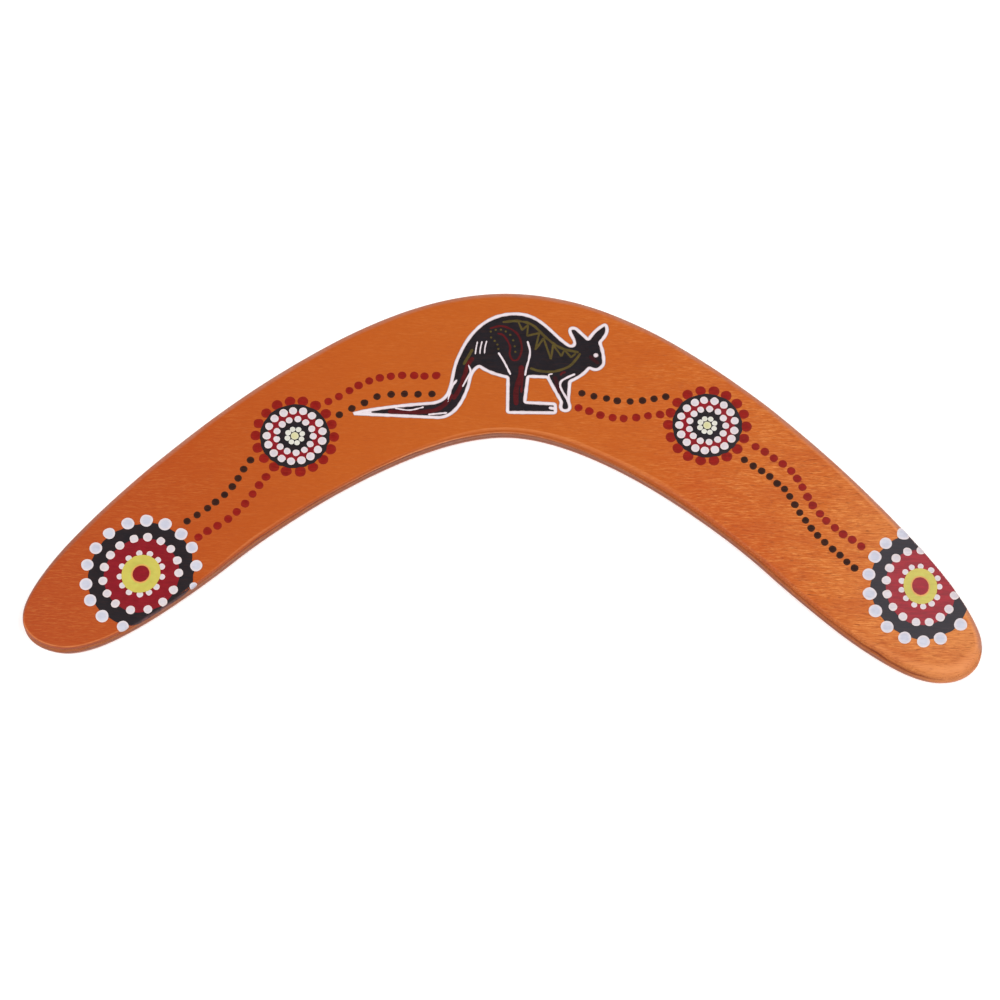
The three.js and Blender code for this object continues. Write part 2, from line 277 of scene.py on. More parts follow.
def add_blob(piece, centre, radius, lift, sides, fractions, crown=0.6):
    """A closed film of paint round a centre, cut off at the board's edge. Sides may differ in radius."""
    angle = np.linspace(0, 2 * math.pi, sides, endpoint=False)
    heading = np.column_stack([np.cos(angle), np.sin(angle)])
    reach = cut_reach(centre, heading, np.ones(sides) * radius)
    flat = np.vstack([centre] + [centre + heading * (reach * f)[:, None] for f in fractions])
    share = np.concatenate([[0]] + [np.full(sides, f) for f in fractions])
    top = drape(flat, lift + FILM * (1 - crown * share**8))
    under = drape(flat[-sides:], lift)
    rows = len(fractions)
    fan = [[0, 1 + i, 1 + (i + 1) % sides] for i in range(sides)]
    rest = tube_faces(rows + 1, sides) + [[rows * sides + i for i in range(sides)]]
    faces = fan + [[1 + i for i in reversed(face)] for face in rest]
    piece.add([*top, *under], faces, [*share, *np.ones(sides)])


def cut_reach(centre, heading, reach):
    """How far each heading goes before the paint is rubbed away on the board's edge, up to its reach."""
    inward, _ = edge_place(centre[None])
    if inward[0] > reach.max():
        return reach
    steps = np.linspace(0, 1, 81)
    along = centre + heading[:, None, :] * (reach[:, None] * steps)[:, :, None]
    inward, nearest = edge_place(along.reshape(-1, 2))
    gone = (inward < ROUND_WIDTH[nearest] - PAINT_REACH[nearest]).reshape(len(heading), -1)
    first = np.where(gone.any(axis=1), gone.argmax(axis=1), len(steps) - 1)
    return reach * steps[np.maximum(first, 1)]


def even_path(points, step, closed=False):
    """Points a set distance apart along a line through the given ones."""
    points = np.array(points, float)
    if closed:
        points = np.vstack([points, points[:1]])
    lengths = np.linalg.norm(np.diff(points, axis=0), axis=1)
    run = np.concatenate([[0], np.cumsum(lengths)])
    count = max(int(round(run[-1] / step)), 2)
    at = np.linspace(0, run[-1], count + 1)
    if closed:
        at = at[:-1]
    return np.column_stack([np.interp(at, run, points[:, axis]) for axis in (0, 1)])


def spline(points, steps=10):
    """A smooth curve through the points."""
    points = np.array(points, float)
    padded = np.vstack([2 * points[0] - points[1], points, 2 * points[-1] - points[-2]])
    t = np.arange(steps)[:, None] / steps
    parts = []
    for a, b, c, d in zip(padded, padded[1:], padded[2:], padded[3:]):
        squared = (2 * a - 5 * b + 4 * c - d) * t**2
        cubed = (3 * b - a - 3 * c + d) * t**3
        parts.append(0.5 * (2 * b + (c - a) * t + squared + cubed))
    return np.vstack([*parts, points[-1:]])


def add_stroke(piece, points, width, lift, closed=False, wobble=0.06, seed=1):
    """A painted line with round ends and a low crown."""
    path = even_path(points, STROKE_STEP, closed)
    count = len(path)
    if closed:
        tangent = np.roll(path, -1, axis=0) - np.roll(path, 1, axis=0)
    else:
        tangent = np.gradient(path, axis=0)
    tangent /= np.linalg.norm(tangent, axis=1)[:, None]
    side = np.column_stack([-tangent[:, 1], tangent[:, 0]])
    half = width / 2 * (1 + wobble * wander(count, range(3, max(6, count // 8)), seed))
    if not closed:
        from_end = np.minimum(np.arange(count), np.arange(count)[::-1]) * STROKE_STEP
        share = np.clip(from_end / (width / 2), 0, 1)
        half *= np.sqrt(np.clip(1 - (1 - share) ** 2, 0.05, 1))
    across = np.array([1, 1, 0.7, 0, -0.7, -1, -1])
    crown = np.array([0, 0.5, 0.85, 1, 0.85, 0.5, 0]) * FILM
    flat = path[:, None, :] + side[:, None, :] * (half[:, None] * across)[:, :, None]
    flat = flat.reshape(-1, 2)
    points = drape(flat, lift + np.tile(crown, count))
    faces = tube_faces(count, len(across), closed)
    if not closed:
        faces.append(list(range(len(across)))[::-1])
        faces.append([(count - 1) * len(across) + i for i in range(len(across))])
    piece.add(points, faces, np.tile(np.abs(across), count))


def add_slab(piece, points, lift):
    """A flat film with the given outline, anticlockwise."""
    count = len(points)
    rings = [np.column_stack([points, np.full(count, TOP + lift)])]
    rings.append(np.column_stack([points, np.full(count, TOP + lift + FILM)]))
    faces = tube_faces(2, count)
    faces.append(list(range(count))[::-1])
    faces.append([count + i for i in range(count)])
    piece.add(np.vstack(rings), faces, np.zeros(2 * count))


# Materials


def add(tree, kind, inputs=None, **settings):
    """Adds a node. Each input gets a value, or the socket that feeds it."""
    made = tree.nodes.new(kind)
    for key, value in settings.items():
        setattr(made, key, value)
    for key, value in (inputs or {}).items():
        if isinstance(value, bpy.types.NodeSocket):
            tree.links.new(value, made.inputs[key])
        else:
            made.inputs[key].default_value = value
    return made


def linear(red, green, blue):
    """A display colour, 0 to 255, as the shader's linear one."""

    def channel(value):
        value /= 255
        return value / 12.92 if value <= 0.04045 else ((value + 0.055) / 1.055) ** 2.4

    return (channel(red), channel(green), channel(blue), 1)


def new_material(name):
    """A material with only a shader and its output."""
    material = bpy.data.materials.new(name)
    material.use_nodes = True
    tree = material.node_tree
    tree.nodes.clear()
    output = tree.nodes.new("ShaderNodeOutputMaterial")
    shader = tree.nodes.new("ShaderNodeBsdfPrincipled")
    tree.links.new(shader.outputs["BSDF"], output.inputs["Surface"])
    return material, tree, shader


def stretched_noise(tree, place, scale, detail=3, roughness=0.55):
    """Noise whose features are 1/scale metres long on each axis, from 0 to 1."""
    mapped = add(tree, "ShaderNodeMapping", {"Vector": place, "Scale": scale})
    noise = add(tree, "ShaderNodeTexNoise", {
        "Vector": mapped.outputs[0], "Scale": 1.0, "Detail": detail, "Roughness": roughness,
    })
    return noise.outputs["Fac"]


def spread(tree, value, low, high, to_low=0.0, to_high=1.0):
    """Maps the range low to high onto another, clamped."""
    return add(tree, "ShaderNodeMapRange", {
        "Value": value, "From Min": low, "From Max": high, "To Min": to_low, "To Max": to_high,
    }).outputs[0]


def mix(tree, factor, first, second, blend="MIX"):
    """The first colour at factor 0 and the second at 1, or the first blended with the second."""
    node = add(tree, "ShaderNodeMix", {"Factor": factor}, data_type="RGBA", blend_type=blend)
    for socket, value in (("A_Color", first), ("B_Color", second)):
        target = next(s for s in node.inputs if s.identifier == socket)
        if isinstance(value, bpy.types.NodeSocket):
            tree.links.new(value, target)
        else:
            target.default_value = value
    return next(s for s in node.outputs if s.identifier == "Result_Color")


def math_node(tree, operation, first, second):
    return add(tree, "ShaderNodeMath", {0: first, 1: second}, operation=operation).outputs[0]


def vector_math(tree, operation, first, second):
    return add(tree, "ShaderNodeVectorMath", {0: first, 1: second}, operation=operation).outputs[0]


def split(tree, vector):
    """The X, Y and Z of a vector."""
    return tuple(add(tree, "ShaderNodeSeparateXYZ", {0: vector}).outputs)


def scaled(tree, factor, by, low, high):
    """The factor, weakened to low where the other value is 0 and to high where it is 1."""
    return math_node(tree, "MULTIPLY", factor, spread(tree, by, 0.0, 1.0, low, high))


def grain_place(tree):
    """Object coordinates, plain and bent a little so that the grain runs in gentle waves."""
    place = add(tree, "ShaderNodeTexCoord").outputs["Object"]
    wave = add(tree, "ShaderNodeTexNoise", {"Vector": place, "Scale": 22.0, "Detail": 1.0})
    centred = vector_math(tree, "SUBTRACT", wave.outputs["Color"], (0.5, 0.5, 0.5))
    sideways = vector_math(tree, "MULTIPLY", centred, (0, 0.003, 0))
    return place, vector_math(tree, "ADD", place, sideways)


def grain_relief(tree, bent):
    """Streaks, fine fibres and sparse pores that all follow the grain."""
    streaks = stretched_noise(tree, bent, (260, 3000, 3000), 3, 0.6)
    fibres = stretched_noise(tree, bent, (520, 4200, 4200), 2)
    pores = spread(tree, stretched_noise(tree, bent, (312, 3200, 3200), 2), 0.28, 0.37)
    return streaks, fibres, pores


def ramp(tree, value, stops):
    """A colour that runs evenly through the stops as the value goes from 0 to 1."""
    node = add(tree, "ShaderNodeValToRGB", {"Fac": value})
    elements = node.color_ramp.elements
    while len(elements) < len(stops):
        elements.new(0.5)
    for i, colour in enumerate(stops):
        elements[i].position = i / (len(stops) - 1)
        elements[i].color = colour
    return node.outputs["Color"]


def finish_surface(tree, shader, colour, height, strength, distance, roughness, specular):
    """Wires colour, bump and roughness to the shader. strength and distance are the bump's."""
    tree.links.new(colour, shader.inputs["Base Color"])
    bump = add(tree, "ShaderNodeBump", {"Height": height, "Strength": strength, "Distance": distance})
    tree.links.new(bump.outputs[0], shader.inputs["Normal"])
    tree.links.new(roughness, shader.inputs["Roughness"])
    shader.inputs["Specular IOR Level"].default_value = specular


def edge_marks(tree, colour, noise, bare_and_glare_colour):
    """Colours the edges as marks say: painted highlight, darkening in part painted shade, bare wood and a
    painted dull band.
    """
    marks = add(tree, "ShaderNodeAttribute", attribute_name="edge").outputs["Vector"]
    painted_highlight, dark, bare = split(tree, marks)
    # Bare wood, and on the convex rounding a painted dull band of shade and grazing reflection
    colour = mix(tree, bare, colour, bare_and_glare_colour)
    # Painted highlight: golden where the edge catches the light
    wear_and_highlight = math_node(tree, "MULTIPLY", painted_highlight, spread(tree, noise, 0.3, 0.55, 0.5, 1.0))
    colour = mix(tree, wear_and_highlight, colour, linear(216, 136, 80))
    # Darker: the stain's dark line, and painted shade on the rounding, low on the side and at the left tip
    return mix(tree, dark, colour, linear(104, 36, 18))


def pooled_stain(tree, x, y):
    """Where the stain has pooled: along the inside of the right arm, between its two ornaments."""
    across = math_node(tree, "ADD", y, math_node(tree, "MULTIPLY", x, 0.95))
    between = math_node(tree, "MULTIPLY", spread(tree, x, 0.045, 0.065), spread(tree, x, 0.112, 0.09))
    return math_node(tree, "MULTIPLY", between, spread(tree, across, 0.088, 0.06, 0.0, 0.6))


def face_wood(name, stops):
    """Stained and varnished veneer whose grain runs from tip to tip, roughest towards the right tip, where
    its colour and golden grain streaks hold a painted sheen.
    """
    material, tree, shader = new_material(name)
    place, bent = grain_place(tree)
    streaks, fibres, pores = grain_relief(tree, bent)
    sheen = stretched_noise(tree, bent, (270, 3600, 3600), 3, 0.7)
    cloud = stretched_noise(tree, bent, (40, 120, 120), 3)
    x, y, _ = split(tree, place)
    along = spread(tree, x, -TIP_X * MM, TIP_X * MM)
    rough = ramp(tree, along, [(share, share, share, 1) for share in TEXTURE])
    patchy = math_node(tree, "MULTIPLY", rough, spread(tree, cloud, 0.35, 0.6, 0.4, 1.0))
    colour = mix(tree, pooled_stain(tree, x, y), ramp(tree, along, stops), linear(178, 72, 14))
    # Where each kind of grain shows, how rough the veneer is, how strongly the grain shows on smooth and on
    # rough veneer, and its colour
    grains = (
        (spread(tree, cloud, 0.58, 0.36), rough, 0.05, 0.4, linear(172, 70, 20)),
        (spread(tree, streaks, 0.49, 0.36), rough, 0.05, 0.55, linear(138, 48, 12)),
        # Golden streaks: a painted highlight along the grain
        (spread(tree, sheen, 0.52, 0.64), patchy, 0.02, 0.75, linear(226, 146, 76)),
        (spread(tree, fibres, 0.5, 0.66), patchy, 0.04, 0.35, linear(222, 136, 70)),
        (spread(tree, pores, 1.0, 0.0), rough, 0.12, 0.55, linear(108, 38, 12)),
    )
    for shows, roughness, smooth_share, rough_share, tint in grains:
        colour = mix(tree, scaled(tree, shows, roughness, smooth_share, rough_share), colour, tint)
    # The colour of bare wood, also used for the painted dull band on the convex rounding
    bare = mix(tree, spread(tree, fibres, 0.3, 0.7), linear(162, 104, 84), linear(184, 130, 110))
    colour = edge_marks(tree, colour, streaks, bare)
    ridges = math_node(tree, "MULTIPLY", streaks, 0.6)
    height = math_node(tree, "ADD", ridges, math_node(tree, "MULTIPLY", pores, 0.5))
    strength = spread(tree, rough, 0.0, 1.0, 0.15, 0.8)
    roughness = spread(tree, streaks, 0.2, 0.8, 0.5, 0.38)
    finish_surface(tree, shader, colour, height, strength, 0.00015, roughness, 0.2)
    return material


def ply_edge(name, dark, light, along):
    """The sanded edge of a veneer, along or across its fibres, stained in part."""
    material, tree, shader = new_material(name)
    _, bent = grain_place(tree)
    scale = (420, 420, 3600) if along else (2600, 2600, 1500)
    fibres = stretched_noise(tree, bent, scale, 3)
    bare = mix(tree, spread(tree, fibres, 0.3, 0.7), dark, light)
    stain = mix(tree, spread(tree, fibres, 0.35, 0.65), linear(146, 70, 30), linear(178, 96, 42))
    colour = edge_marks(tree, stain, fibres, bare)
    roughness = spread(tree, fibres, 0.3, 0.7, 0.75, 0.6)
    finish_surface(tree, shader, colour, fibres, 0.4, 0.0001, roughness, 0.12)
    return material


def paint(name, colour, deep, rim_colour, shows, lined=(0.2, 0.55), painted_sheen=0.05):
    """Thin satin paint, mottled between two tones, with a third where a dot or stroke ends.

    shows is how strongly the wood shows through where the film is thin. lined is how strongly grain lines
    darken the paint on the left of the board and at the right tip; the last argument is a painted sheen,
    pale and bluish, at that tip.
    """
    material, tree, shader = new_material(name + "_paint")
    place, bent = grain_place(tree)
    streaks, fibres, pores = grain_relief(tree, bent)
    mottle = add(tree, "ShaderNodeTexNoise", {"Vector": place, "Scale": 420.0, "Detail": 3.0}).outputs["Fac"]
    tone = mix(tree, spread(tree, mottle, 0.35, 0.7), linear(*colour), linear(*deep))
    rim = add(tree, "ShaderNodeAttribute", attribute_name="rim").outputs["Fac"]
    tone = mix(tree, spread(tree, rim, 0.55, 0.95, 0.0, 0.85), tone, linear(*rim_colour))
    thin = math_node(tree, "MULTIPLY", spread(tree, streaks, 0.6, 0.42), spread(tree, fibres, 0.4, 0.65))
    tone = mix(tree, spread(tree, thin, 0.0, 1.0, 0.0, shows), tone, linear(170, 84, 38))
    x, _, height = split(tree, place)
    rightward = spread(tree, x, 0.06, 0.13)
    lines = spread(tree, stretched_noise(tree, bent, (150, 1500, 1500), 2), 0.56, 0.4)
    tone = mix(tree, scaled(tree, lines, rightward, *lined), tone, (0.55, 0.52, 0.55, 1), "MULTIPLY")
    low = spread(tree, height, TOP * MM, (TOP - 2.3) * MM, 0.0, 0.8)
    wear_and_highlight = math_node(tree, "MULTIPLY", low, spread(tree, mottle, 0.42, 0.6, 0.2, 0.9))
    tone = mix(tree, wear_and_highlight, tone, linear(144, 72, 74))
    # Painted sheen: the paint pales towards bluish grey at the right tip
    tone = mix(tree, spread(tree, rightward, 0.0, 1.0, 0.0, painted_sheen), tone, linear(190, 188, 204))
    relief = math_node(tree, "ADD", streaks, math_node(tree, "MULTIPLY", pores, 0.4))
    roughness = spread(tree, mottle, 0.3, 0.7, 0.6, 0.48)
    finish_surface(tree, shader, tone, relief, 0.22, 0.0001, roughness, 0.15)
    return material


# The stain on the front, whose last stops hold a painted sheen at the right tip, and on the back, and how
# rough the veneer is, evenly from the left tip to the right
STAIN_AND_SHEEN = (linear(164, 66, 22), linear(170, 72, 16), linear(177, 82, 18), linear(179, 86, 20),
         linear(182, 86, 18), linear(187, 94, 28), linear(200, 122, 64))
BACK_STAIN = (linear(160, 68, 18), linear(176, 84, 22), linear(188, 100, 38))
TEXTURE = (0.26, 0.16, 0.1, 0.14, 0.4, 1.0, 1.0)
WOOD = face_wood("stained_wood", STAIN_AND_SHEEN)
BACK_WOOD = face_wood("back_stained_wood", BACK_STAIN)
CORE_EDGE = ply_edge("core_edge", linear(138, 84, 62), linear(160, 108, 88), True)
CROSS_EDGE = ply_edge("cross_edge", linear(128, 74, 54), linear(150, 96, 76), False)

# Grain lines darken the pale paints less than the others
CLEAN = (0.06, 0.14)
BLACK = paint("black", (27, 23, 29), (20, 17, 23), (32, 27, 31), 0.03)
RED = paint("red", (136, 12, 30), (120, 8, 23), (128, 16, 30), 0.08)
BRIGHT_RED = paint("bright_red", (158, 14, 32), (142, 10, 25), (150, 20, 33), 0.08)
TRAIL_RED = paint("trail_red", (140, 13, 6), (122, 9, 4), (134, 24, 12), 0.12, painted_sheen=0.01)
TRAIL_BLACK = paint("trail_black", (42, 15, 8), (33, 11, 6), (62, 32, 17), 0.1, painted_sheen=0)
WHITE = paint("white", (196, 197, 210), (184, 185, 200), (218, 206, 208), 0.05, CLEAN)
WARM_WHITE = paint("warm_white", (207, 200, 206), (196, 188, 194), (220, 204, 202), 0.06, CLEAN)
LINE_WHITE = paint("line_white", (222, 211, 217), (212, 200, 207), (152, 133, 131), 0.04, CLEAN)
PALE_YELLOW = paint("pale_yellow", (205, 201, 156), (194, 189, 136), (204, 202, 172), 0.04, CLEAN)
ORANGE = paint("orange", (212, 150, 78), (204, 140, 66), (212, 156, 84), 0.05, CLEAN)
CREAM = paint("cream", (210, 209, 198), (200, 198, 184), (216, 214, 206), 0.04, CLEAN)
YELLOW = paint("yellow", (192, 187, 88), (180, 172, 76), (194, 180, 82), 0.06, CLEAN)
OLIVE = paint("olive", (84, 73, 32), (68, 58, 26), (66, 54, 28), 0.05)
MAROON = paint("maroon", (84, 10, 18), (66, 8, 15), (60, 11, 18), 0.05)
DIM_MAROON = paint("dim_maroon", (54, 12, 20), (43, 10, 17), (38, 14, 19), 0.03)


# The board


# How deep the glue lines lie, and the marks of wood that is neither rubbed, darkened nor bare
GLUE_GROOVE = 0.05
PLAIN = (0, 0, 0)
# How the marks on the board's side stray up and down
SIDE_WANDER = wander(len(OUTLINE), range(5, 90), 37)


def line_at(height, middle, half):
    """1 at the middle height, falling to 0 at half a line's width from it."""
    return np.clip(1 - np.abs(height - middle) / half, 0, 1)


def concave_tone(height, up, bare):
    """How much painted highlight, darkening and bare wood the concave edge has. up is how far up the
    rounding the height is.
    """
    # Painted highlights: a golden line on the crest and at the foot of the rounding, and a broad sheen at
    # the right tip
    crest = concave("crest") * np.interp(up, (0.75, 0.97, 1), (0, 0.6, 1))
    foot = concave("foot") * line_at(height, TOP - ROUND_DROP + 0.1, 0.5)
    painted_highlight = np.maximum(np.maximum(crest, foot), concave("painted_highlight") * (1 - 0.4 * bare))
    line = concave("strength") * line_at(height, concave("line") + 0.2 * SIDE_WANDER, 0.7)
    # Painted contact shadow: a dark line low on the side
    low_shadow = concave("low_shadow") * line_at(height, 1.5 + 0.3 * SIDE_WANDER, 0.6)
    # Painted shade on the rounding, where it has no painted highlight
    bevel_shade = 0.25 * np.interp(up, (0, 0.3, 0.8, 0.97), (0, 1, 1, 0)) * (1 - painted_highlight)
    return painted_highlight, np.maximum(np.maximum(line, low_shadow), bevel_shade), bare


def convex_tone(up, bare):
    """The same for the convex edge: a painted highlight at the right tip, painted shade at the left tip, and
    a painted dull band of shade and grazing reflection between.
    """
    right_tip = np.clip((OUTLINE[:, 0] - 95) / 25, 0, 1)
    painted_highlight = 0.7 * right_tip * np.interp(up, (0.9, 0.99, 1), (0, 1, 0.8))
    # Painted shade on the rounding round the left tip
    left_tip = np.clip((-128 - OUTLINE[:, 0]) / 20, 0, 1)
    dark = 0.36 * left_tip * np.interp(up, (0, 0.96, 1), (1, 0.85, 0))
    # Painted shade and grazing reflection: a dull pale band over the rounding, which faces away
    shade_and_glare = np.interp(up, (0, 0.6, 0.85, 0.95, 0.99, 1), (1, 0.95, 0.7, 0.42, 0.2, 0))
    return painted_highlight, dark, np.where(up > 0, shade_and_glare, bare)


def edge_tone(height):
    """How much painted highlight, darkening and bare share the board's edge has at a height, at each outline
    point.
    """
    up = climb(height)
    bare = 1 - np.clip((height - concave("stain") - 0.35 * SIDE_WANDER) / 0.7 + 0.5, 0, 1)
    inside = np.clip(-NORMALS[:, 1] * 3, 0, 1)
    unsteady = 0.9 + 0.15 * SIDE_WANDER
    tones = zip(concave_tone(height, up, bare), convex_tone(up, bare))
    return [np.clip((a * inside + b * (1 - inside)) * unsteady, 0, 1) for a, b in tones]


def front_rings():
    """The face ply: its side, the rounding and the flat."""
    low = TOP * (1 - 1 / PLY_COUNT)
    side = low + 0.04
    rings = [(wall_inset(low) + GLUE_GROOVE, low, edge_tone(low))]
    for height in side + (TOP - side) * np.sin(np.linspace(0, math.pi / 2, 18)):
        rings.append((wall_inset(height), height, edge_tone(height)))
    painted_highlight = edge_tone(TOP)[0]
    # The painted highlight fades out on the flat, over a broader band inside the right tip
    broad = np.clip((OUTLINE[:, 0] - 120) / 25, 0, 1) * np.clip(-NORMALS[:, 1] * 3, 0, 1)
    rings.append((ROUND_WIDTH + 0.15 + 0.8 * broad, TOP, (painted_highlight * (0.4 + 0.4 * broad), 0, 0)))
    rings.append((ROUND_WIDTH + 0.4 + 2.2 * broad, TOP, PLAIN))
    rings.append((ROUND_WIDTH + 3.5, TOP, PLAIN))
    return rings


def ply_rings(index):
    """A veneer under the face, its side a hair proud between its two glue lines."""
    low = index * TOP / PLY_COUNT
    high = low + TOP / PLY_COUNT
    rings = []
    if index == 0:
        rings.append((wall_inset(0) + 1.2, 0, PLAIN))
    for share in (0, 0.03, 0.1, 0.2, 0.35, 0.5, 0.65, 0.8, 0.97, 1):
        height = low + (high - low) * share
        groove = GLUE_GROOVE if share in (0, 1) and height > 0 else 0
        rings.append((wall_inset(height) + groove, height, edge_tone(height)))
    return rings


def build_board():
    """Five veneers, each replacing its CAD node."""
    plies = (
        ("back_ply", ply_rings(0), BACK_WOOD, "back_wood"),
        ("lower_cross_ply", ply_rings(1), CROSS_EDGE, "cross_wood"),
        ("core_ply", ply_rings(2), CORE_EDGE, "core_wood"),
        ("upper_cross_ply", ply_rings(3), CROSS_EDGE, "cross_wood"),
        ("face_ply", front_rings(), WOOD, "face_wood"),
    )
    for node, rings, material, slot in plies:
        piece = Piece()
        add_loft(piece, rings)
        piece.make("fine_" + node, material, node, mark="edge")


# Ornaments. Bearings are in degrees from +X.


def even(count, start=0):
    """Evenly spaced bearings."""
    return [start + 360 * i / count for i in range(count)]


# Each tip's ornament is stretched by a share of its size along the bearing lean. Its discs have these radii,
# and the red one swells by some millimetres towards a bearing. A ring of dots has its own radius, its dots'
# radius and their bearings.
TIP_ORNAMENTS = {
    "left_tip": {
        "centre": (-122.7, -41.8), "stretch": 0.035, "lean": 67,
        "discs": {"ground": 18.3, "red_disc": 12.8, "yellow_disc": 6.75, "centre": 2.9},
        "red": RED, "swell": (1.0, 300),
        "rim_dots": (19.15, 2.15, [-12, 11, 32, 50, 70, 89, 108, 130, 151, 172, 193, 212, 233, 256]),
        "middle_dots": (
            13.1, 1.5, [4, 24, 45, 65, 85, 105, 128, 149, 171, 193, 215, 235, 259, 285, 309, 335],
        ),
        "inner_dots": (7.4, 1.08, [-7, 23, 44, 72, 98, 129, 159, 190, 217, 242, 271, 295, 320]),
    },
    "right_tip": {
        "centre": (141.4, -36.8), "stretch": 0.068, "lean": 96,
        "discs": {"ground": 18.0, "red_disc": 12.5, "yellow_disc": 6.1, "centre": 3.0},
        "red": BRIGHT_RED, "swell": (0.7, 270),
        "rim_dots": (18.7, 2.2, [106, 127, 146, 168, 191, 212, 233, 254, 272, 289, 315]),
        "middle_dots": (12.4, 1.5, [89, 109, 129, 149, 172, 196, 220, 242, 263, 282, 301, 320, 345]),
        "inner_dots": (6.9, 1.05, [1, 29, 59, 89, 113, 135, 164, 193, 223, 253, 277, 300, 326]),
    },
}
# Rim dots that are partly rubbed away on the board's edge: their sizes, relative to the others
WORN_DOTS = {("left_tip", -12): 0.7, ("left_tip", 256): 0.88}

ARM_CENTRES = {"left_arm": (-73.6, 11.2), "right_arm": (68.5, 20.3)}
# Each trail's number of dots, and points on its way
TRAILS = {
    "left_lower_black": (9, ((-108.3, -21.6), (-96.3, -11.8), (-88.3, 1.6))),
    "left_lower_red": (9, ((-104.3, -27.7), (-91.3, -17.5), (-82.8, -4.2))),
    "left_upper_red": (11, ((-62.6, 25), (-45.2, 34.4), (-25.7, 35.9))),
    "left_upper_black": (8, ((-58.6, 19.9), (-43.7, 28), (-27, 28.8))),
    "right_upper_black": (8, ((25.1, 31.3), (39.6, 28.3), (54.2, 30.7))),
    "right_upper_red": (8, ((23.8, 25.4), (37.8, 22), (52.1, 23.9))),
    "right_lower_red": (15, ((85.4, 13), (97.3, 4.4), (107.4, -11.4), (121.4, -22.9))),
    "right_lower_black": (17, ((81.7, 7.7), (94.9, -2.6), (104.5, -16.9), (119, -30.9))),
}

# Where a plain dot, a dot that bends over the edge and a disc have rings of points, as shares of the radius
DOT_RINGS = (0.45, 0.75, 0.9, 1.0)
EDGE_DOT_RINGS = tuple(np.linspace(0.1, 1, 10))
DISC_RINGS = (0.35, 0.6, *np.linspace(0.72, 1, 20))


def level_lift(level):
    """How far above the board a coat of paint starts."""
    return FIRST_COAT + level * FILM_STEP


def oval_point(oval, radius, bearing):
    """The point of an oval ring at a bearing."""
    angle = math.radians(bearing)
    reach = radius * (1 + oval["stretch"] * math.cos(2 * (angle - math.radians(oval["lean"]))))
    centre = oval["centre"]
    return np.array([centre[0] + reach * math.cos(angle), centre[1] + reach * math.sin(angle)])


def add_dots(piece, places, radius, level, seed, jitter=0.12):
    """Separate hand-set dots, each a little different. There may be a radius for each of them."""
    rng = np.random.default_rng(seed)
    for i, (place, dot) in enumerate(zip(places, np.ones(len(places)) * radius)):
        place = place + rng.uniform(-jitter, jitter, 2)
        inward, _ = edge_place(place[None])
        bends_over_edge = inward[0] < dot + ROUND_WIDTH.max()
        sides, rings = (60, EDGE_DOT_RINGS) if bends_over_edge else (24, DOT_RINGS)
        size = dot * rng.uniform(0.95, 1.05) * (1 + 0.025 * wander(sides, (2, 3, 4), seed * 100 + i))
        add_blob(piece, place, size, level_lift(level), sides, rings)


def add_oval(piece, oval, radius, level, seed, uneven=0.008, swell=(0, 0)):
    """A painted disc with a slightly unsteady edge. It may swell by some millimetres towards one bearing."""
    angle = np.linspace(0, 2 * math.pi, OVAL_SIDES, endpoint=False)
    reach = radius * (1 + oval["stretch"] * np.cos(2 * (angle - math.radians(oval["lean"]))))
    reach = reach * (1 + uneven * wander(OVAL_SIDES, range(4, 26), seed))
    reach = reach + swell[0] * np.clip(np.cos(angle - math.radians(swell[1])), 0, 1)
    centre = np.array(oval["centre"])
    add_blob(piece, centre, reach, level_lift(level), OVAL_SIDES, DISC_RINGS, crown=0.3)


def build_tip_ornament(name, oval):
    """Discs one on another, and rings of dots round and on them. Each has a level, its coat's number."""
    discs = (
        ("ground", BLACK, "black_paint", 0),
        ("red_disc", oval["red"], "red_paint", 1),
        ("yellow_disc", YELLOW, "yellow_paint", 3),
        ("centre", oval["red"], "red_paint", 4),
    )
    for part, material, slot, level in discs:
        piece = Piece()
        swell = oval["swell"] if part == "red_disc" else (0, 0)
        add_oval(piece, oval, oval["discs"][part], level, len(name) + level, swell=swell)
        piece.make(f"{name}_{part}_paint", material, f"{name}_{part}")
    ring = Piece()
    add_oval(ring, oval, oval["discs"]["centre"] + 0.5, 3.25, 7)
    ring.make(f"{name}_centre_ring_paint", ORANGE)
    for part, level in (("rim_dots", 1), ("middle_dots", 2), ("inner_dots", 2)):
        radius, dot, bearings = oval[part]
        places = [oval_point(oval, radius, bearing) for bearing in bearings]
        sizes = [dot * WORN_DOTS.get((name, bearing), 1) for bearing in bearings]
        piece = Piece()
        add_dots(piece, places, sizes, level, len(name) * 7 + len(part))
        material = WHITE if part == "rim_dots" else WARM_WHITE
        piece.make(f"{name}_{part}_paint", material, f"{name}_{part}")


